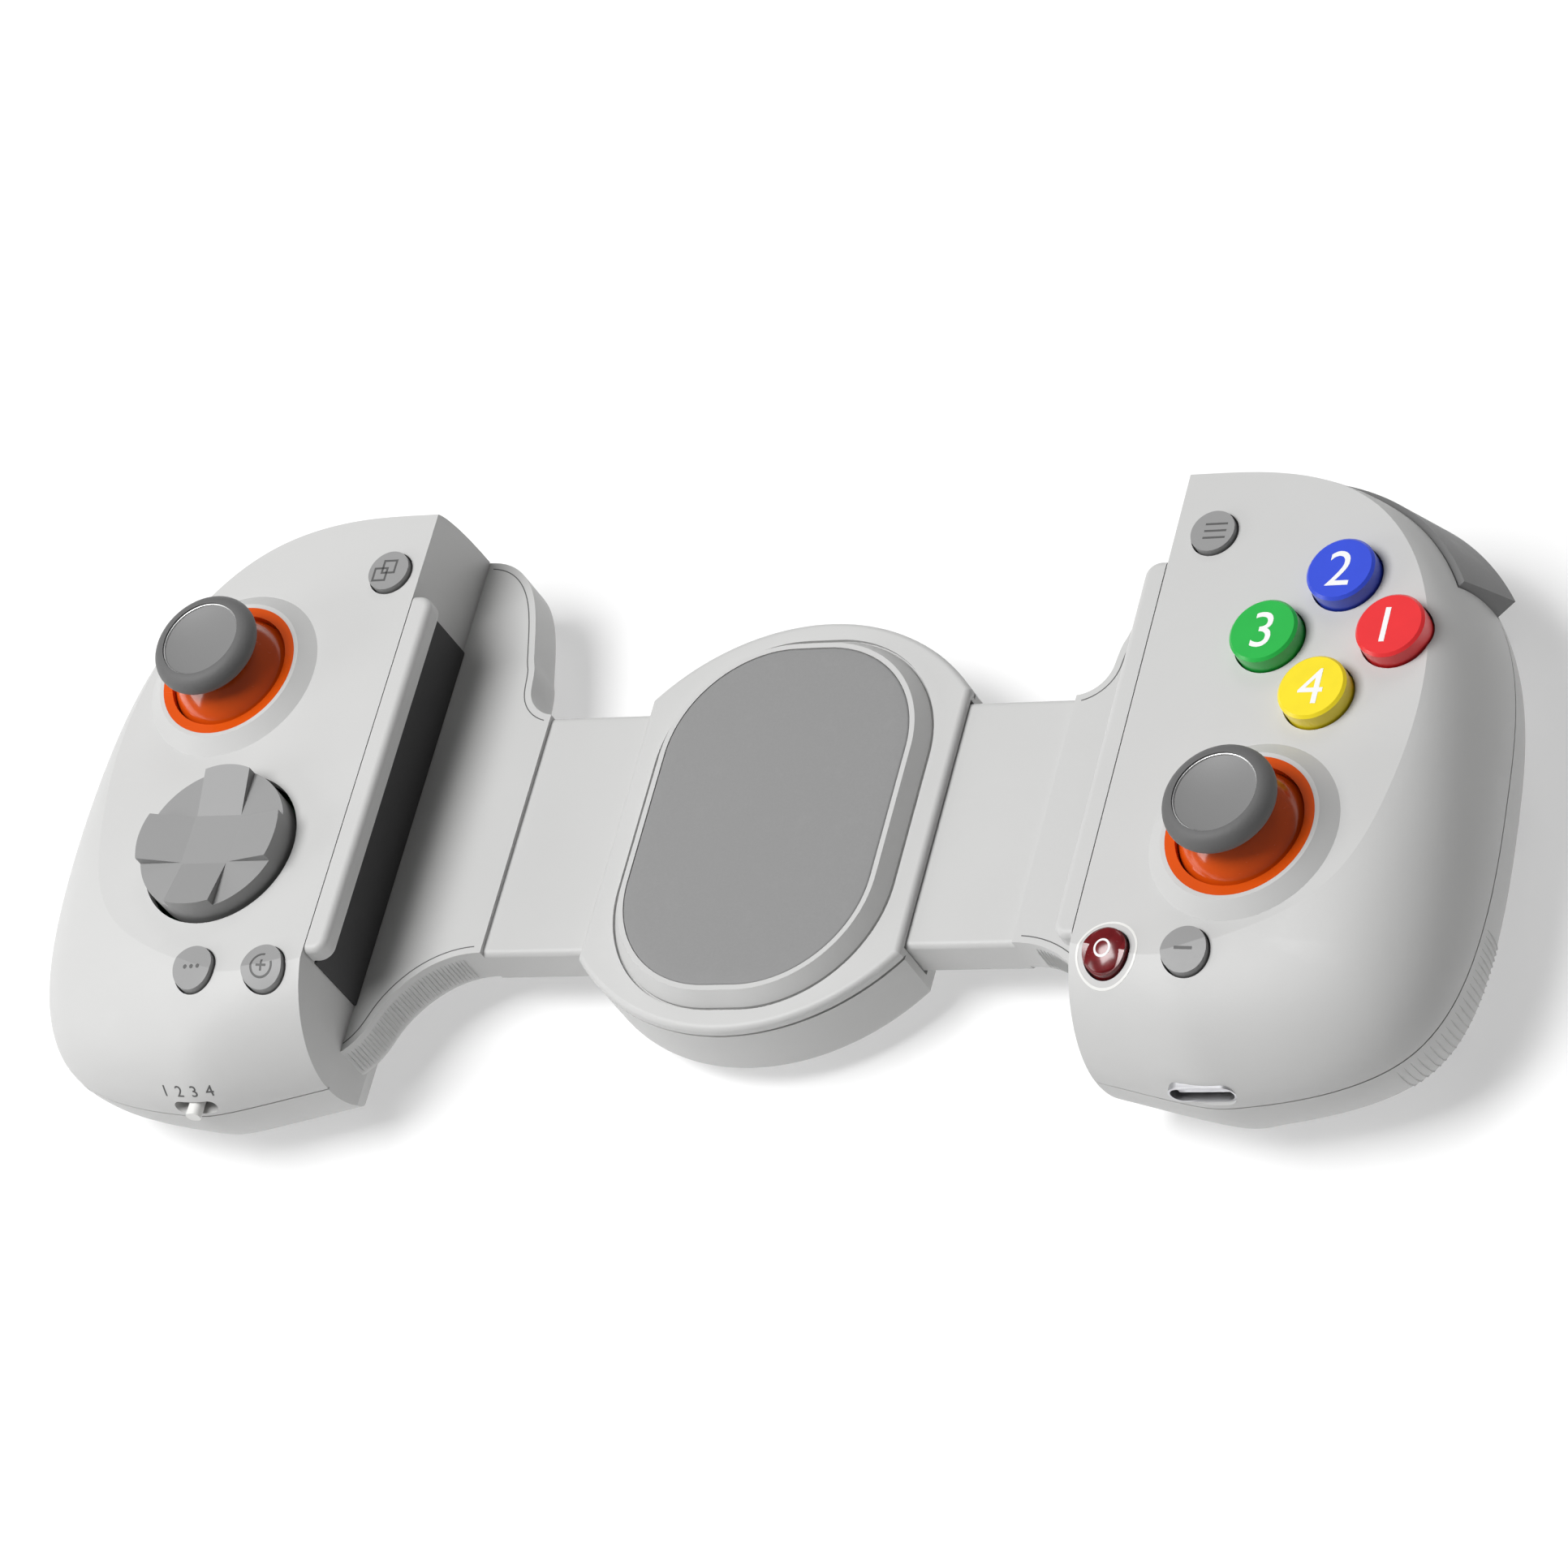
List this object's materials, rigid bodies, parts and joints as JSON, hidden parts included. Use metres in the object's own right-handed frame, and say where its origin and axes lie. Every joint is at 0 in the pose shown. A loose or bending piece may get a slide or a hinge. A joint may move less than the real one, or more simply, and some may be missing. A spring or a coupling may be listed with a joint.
{
  "type": "telescopic game controller",
  "caption": "Two-handed game controller whose grips pull apart on flat arms to clamp a phone, with sticks, keys, a direction pad, bumpers and triggers.",
  "frame": {"origin": "middle of the soft pad that the phone's back lies on", "axes": "X along the phone from the left grip to the right grip, Y from the grips' lower ends to their shoulders, Z out of the phone's screen"},
  "size_m": [0.2034, 0.0864, 0.0373],
  "materials": {
    "light_shell": "fine moulded texture",
    "dark_pad": "soft matt rubber",
    "middle_pad": "soft matt silicone",
    "key_grey": "fine moulded texture",
    "stick_rubber": "matt rubber",
    "stick_face": "smooth, dished",
    "orange_gloss": "polished",
    "shoulder_grey": "fine moulded texture",
    "key_red": "satin",
    "key_blue": "satin",
    "key_green": "satin",
    "key_yellow": "satin",
    "home_red": "clear dome over dark red",
    "steel": "plain",
    "pinion_white": "moulded",
    "board_green": "solder mask",
    "cell_silver": "foil pouch",
    "switch_white": "moulded"
  },
  "bodies": {
    "hub": {"hub_base": "light_shell", "hub_cover": "light_shell", "hub_pad_frame": "light_shell", "hub_pad": "middle_pad", "hub_screws": "steel", "left_return_spring": "steel", "right_return_spring": "steel"},
    "pinion": {"sync_pinion": "pinion_white"},
    "left_grip": {"left_front_shell": "light_shell", "left_back_shell": "light_shell", "left_arm_sleeve": "light_shell", "left_clamp_lip": "light_shell", "left_clamp_pad": "dark_pad", "left_fasteners": "steel", "left_stick_ring": "orange_gloss", "left_stick_base": "key_grey", "left_board": "board_green", "left_slide_plate": "steel", "left_dpad_seat": "key_grey", "left_battery": "cell_silver"},
    "left_stick_cross": {"left_stick_gimbal": "pinion_white"},
    "left_stick_post": {"left_stick_shaft": "steel"},
    "left_stick_top": {"left_stick_skirt": "orange_gloss", "left_stick_cap": "stick_rubber", "left_stick_disc": "stick_face"},
    "left_small_button_top": {"left_small_button_top": "key_grey"},
    "left_small_button_low": {"left_small_button_low": "key_grey"},
    "left_small_button_outer": {"left_small_button_outer": "key_grey"},
    "left_bumper": {"left_bumper": "shoulder_grey"},
    "left_trigger": {"left_trigger": "shoulder_grey"},
    "right_grip": {"right_front_shell": "light_shell", "right_back_shell": "light_shell", "right_arm_sleeve": "light_shell", "right_clamp_lip": "light_shell", "right_clamp_pad": "dark_pad", "right_fasteners": "steel", "right_stick_ring": "orange_gloss", "right_stick_base": "key_grey", "right_board": "board_green", "right_slide_plate": "steel", "right_charging_socket": "steel"},
    "right_stick_cross": {"right_stick_gimbal": "pinion_white"},
    "right_stick_post": {"right_stick_shaft": "steel"},
    "right_stick_top": {"right_stick_skirt": "orange_gloss", "right_stick_cap": "stick_rubber", "right_stick_disc": "stick_face"},
    "right_small_button_top": {"right_small_button_top": "key_grey"},
    "right_small_button_low": {"right_small_button_low": "home_red"},
    "right_small_button_outer": {"right_small_button_outer": "key_grey"},
    "right_face_button_1": {"right_face_button_1": "key_red"},
    "right_face_button_2": {"right_face_button_2": "key_blue"},
    "right_face_button_3": {"right_face_button_3": "key_green"},
    "right_face_button_4": {"right_face_button_4": "key_yellow"},
    "right_bumper": {"right_bumper": "shoulder_grey"},
    "right_trigger": {"right_trigger": "shoulder_grey"},
    "left_dpad_cross": {"left_dpad_rocker": "pinion_white"},
    "left_dpad_top": {"left_dpad": "key_grey"},
    "left_mode_knob": {"left_mode_knob": "switch_white"}
  },
  "joints": [
    {"name": "left_slide", "type": "slide", "parent": "hub", "child": "left_grip", "axis": [-1, 0, 0], "range_m": [0, 0.027], "stiffness_N_per_m": 60, "springref_m": -0.03, "deforming": ["left_return_spring"]},
    {"name": "left_stick_up_down", "type": "hinge", "parent": "left_grip", "child": "left_stick_cross", "pos_m": [-0.07919, 0.01661, 0.0087], "axis": [1, 0, 0], "range_deg": [-20, 20], "stiffness_Nm_per_rad": 0.05},
    {"name": "left_stick_side_side", "type": "hinge", "parent": "left_stick_cross", "child": "left_stick_post", "pos_m": [-0.07919, 0.01661, 0.0087], "axis": [0, 1, 0], "range_deg": [-20, 20], "stiffness_Nm_per_rad": 0.05},
    {"name": "left_stick_click", "type": "slide", "parent": "left_stick_post", "child": "left_stick_top", "axis": [0, 0, -1], "range_m": [0, 0.0005], "stiffness_N_per_m": 800, "springref_m": -0.0008},
    {"name": "left_small_button_top_press", "type": "slide", "parent": "left_grip", "child": "left_small_button_top", "axis": [0, 0, -1], "range_m": [0, 0.0007], "stiffness_N_per_m": 400, "springref_m": -0.0008},
    {"name": "left_small_button_low_press", "type": "slide", "parent": "left_grip", "child": "left_small_button_low", "axis": [0, 0, -1], "range_m": [0, 0.0007], "stiffness_N_per_m": 400, "springref_m": -0.0008},
    {"name": "left_small_button_outer_press", "type": "slide", "parent": "left_grip", "child": "left_small_button_outer", "axis": [0, 0, -1], "range_m": [0, 0.0007], "stiffness_N_per_m": 400, "springref_m": -0.0008},
    {"name": "left_bumper_press", "type": "hinge", "parent": "left_grip", "child": "left_bumper", "pos_m": [-0.07442, 0.039, -0.0028], "axis": [0, 0, 1], "range_deg": [0, 3], "stiffness_Nm_per_rad": 0.4, "springref_deg": -2.86},
    {"name": "left_trigger_pull", "type": "hinge", "parent": "left_grip", "child": "left_trigger", "pos_m": [-0.08188, 0.0317, -0.0055], "axis": [-0.766, -0.6428, 0], "range_deg": [0, 12], "stiffness_Nm_per_rad": 0.1, "springref_deg": -5.73},
    {"name": "right_slide", "type": "slide", "parent": "hub", "child": "right_grip", "axis": [1, 0, 0], "range_m": [0, 0.027], "stiffness_N_per_m": 60, "springref_m": -0.03, "deforming": ["right_return_spring"]},
    {"name": "right_stick_up_down", "type": "hinge", "parent": "right_grip", "child": "right_stick_cross", "pos_m": [0.07471, -0.01166, 0.0087], "axis": [1, 0, 0], "range_deg": [-20, 20], "stiffness_Nm_per_rad": 0.05},
    {"name": "right_stick_side_side", "type": "hinge", "parent": "right_stick_cross", "child": "right_stick_post", "pos_m": [0.07471, -0.01166, 0.0087], "axis": [0, 1, 0], "range_deg": [-20, 20], "stiffness_Nm_per_rad": 0.05},
    {"name": "right_stick_click", "type": "slide", "parent": "right_stick_post", "child": "right_stick_top", "axis": [0, 0, -1], "range_m": [0, 0.0005], "stiffness_N_per_m": 800, "springref_m": -0.0008},
    {"name": "right_small_button_top_press", "type": "slide", "parent": "right_grip", "child": "right_small_button_top", "axis": [0, 0, -1], "range_m": [0, 0.0007], "stiffness_N_per_m": 400, "springref_m": -0.0008},
    {"name": "right_small_button_low_press", "type": "slide", "parent": "right_grip", "child": "right_small_button_low", "axis": [0, 0, -1], "range_m": [0, 0.0007], "stiffness_N_per_m": 400, "springref_m": -0.0008},
    {"name": "right_small_button_outer_press", "type": "slide", "parent": "right_grip", "child": "right_small_button_outer", "axis": [0, 0, -1], "range_m": [0, 0.0007], "stiffness_N_per_m": 400, "springref_m": -0.0008},
    {"name": "right_face_button_1_press", "type": "slide", "parent": "right_grip", "child": "right_face_button_1", "axis": [0, 0, -1], "range_m": [0, 0.0012], "stiffness_N_per_m": 400, "springref_m": -0.0008},
    {"name": "right_face_button_2_press", "type": "slide", "parent": "right_grip", "child": "right_face_button_2", "axis": [0, 0, -1], "range_m": [0, 0.0012], "stiffness_N_per_m": 400, "springref_m": -0.0008},
    {"name": "right_face_button_3_press", "type": "slide", "parent": "right_grip", "child": "right_face_button_3", "axis": [0, 0, -1], "range_m": [0, 0.0012], "stiffness_N_per_m": 400, "springref_m": -0.0008},
    {"name": "right_face_button_4_press", "type": "slide", "parent": "right_grip", "child": "right_face_button_4", "axis": [0, 0, -1], "range_m": [0, 0.0012], "stiffness_N_per_m": 400, "springref_m": -0.0008},
    {"name": "right_bumper_press", "type": "hinge", "parent": "right_grip", "child": "right_bumper", "pos_m": [0.07442, 0.039, -0.0028], "axis": [0, 0, -1], "range_deg": [0, 3], "stiffness_Nm_per_rad": 0.4, "springref_deg": -2.86},
    {"name": "right_trigger_pull", "type": "hinge", "parent": "right_grip", "child": "right_trigger", "pos_m": [0.08188, 0.0317, -0.0055], "axis": [-0.766, 0.6428, 0], "range_deg": [0, 12], "stiffness_Nm_per_rad": 0.1, "springref_deg": -5.73},
    {"name": "pinion_spin", "type": "hinge", "parent": "hub", "child": "pinion", "pos_m": [0, 0, -0.00655], "axis": [0, 0, 1], "range_deg": [0, 265]},
    {"name": "left_dpad_up_down", "type": "hinge", "parent": "left_grip", "child": "left_dpad_cross", "pos_m": [-0.07252, -0.01007, 0.0081], "axis": [1, 0, 0], "range_deg": [-5, 5], "stiffness_Nm_per_rad": 0.2},
    {"name": "left_dpad_side_side", "type": "hinge", "parent": "left_dpad_cross", "child": "left_dpad_top", "pos_m": [-0.07252, -0.01007, 0.0081], "axis": [0, 1, 0], "range_deg": [-5, 5], "stiffness_Nm_per_rad": 0.2},
    {"name": "left_mode_slide", "type": "slide", "parent": "left_grip", "child": "left_mode_knob", "axis": [1, 0, 0], "range_m": [-0.002, 0.002]}
  ],
  "couplings": [
    {"joint": "right_slide", "follows": "left_slide", "ratio": 1},
    {"joint": "pinion_spin", "follows": "left_slide", "rad_per_m": 166.67}
  ]
}
